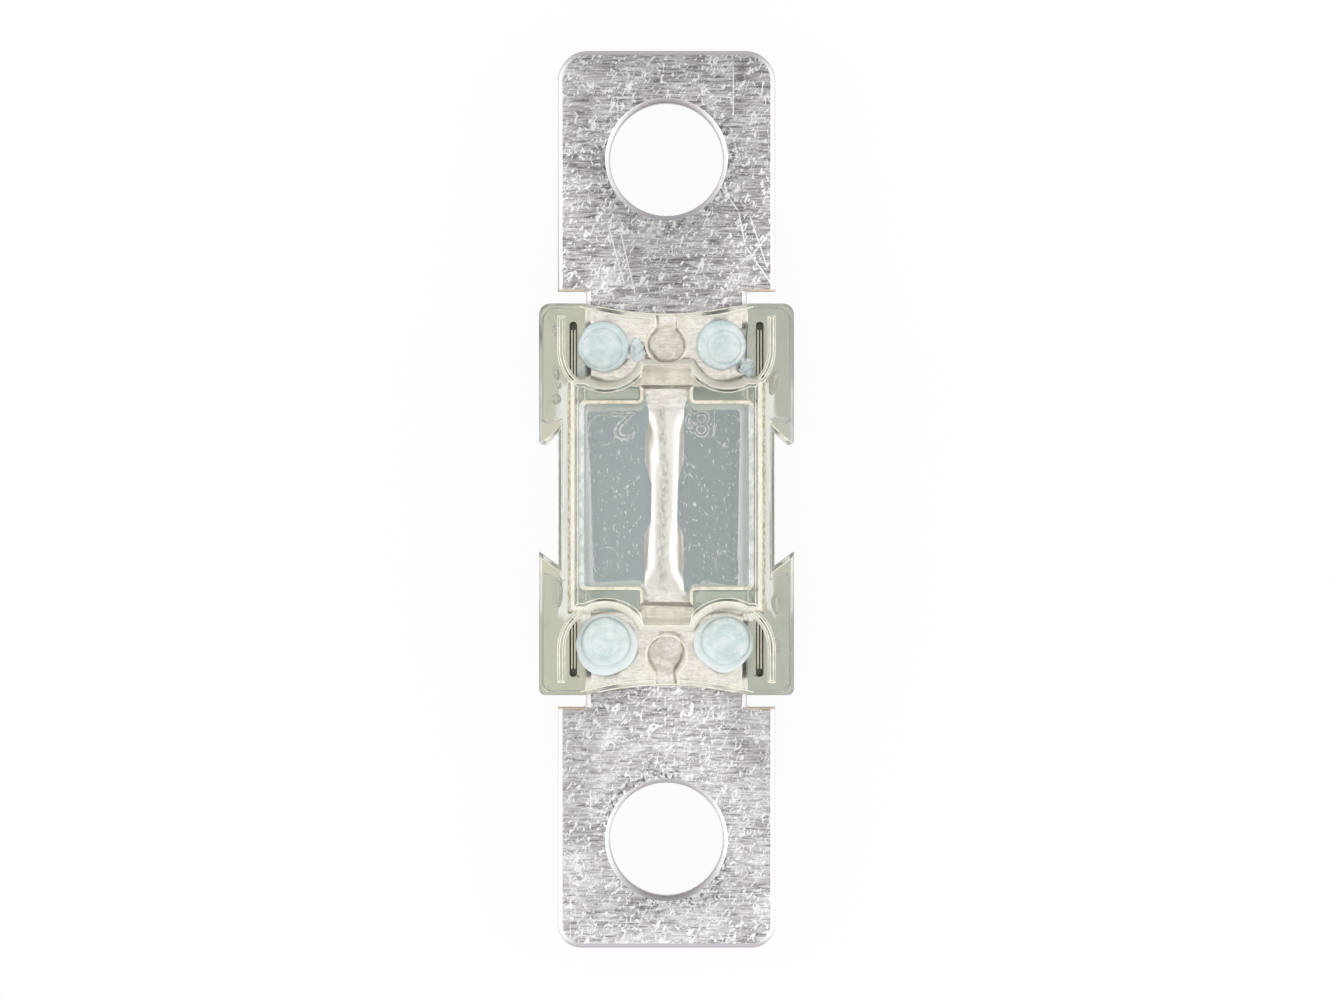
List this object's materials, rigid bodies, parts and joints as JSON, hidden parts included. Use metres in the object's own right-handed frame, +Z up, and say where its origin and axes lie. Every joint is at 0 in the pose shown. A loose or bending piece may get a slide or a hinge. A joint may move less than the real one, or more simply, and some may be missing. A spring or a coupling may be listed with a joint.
{
  "type": "bolt-down strip fuse",
  "caption": "Bolt-down strip fuse: a flat metal strip with a stud hole at each end, its curled fusible link sealed in a clear moulded body.",
  "frame": {"origin": "midway between the centres of the two stud holes, on the metal strip's underside", "axes": "+Y along the strip, +X across it, +Z up through the melted heads and the domed base; the cover's flat plateau is underneath"},
  "size_m": [0.019, 0.0672, 0.0099],
  "materials": {
    "fuse_strip": "rolled and plated, with fine streaks along its width and bright handling scratches",
    "base": "clear moulded plastic with a pale straw tint",
    "cover": "clear moulded plastic with a grey-blue tint, milky where its posts were melted"
  },
  "bodies": {
    "root": {"fuse_strip": "fuse_strip", "base": "base", "cover": "cover"}
  },
  "joints": []
}
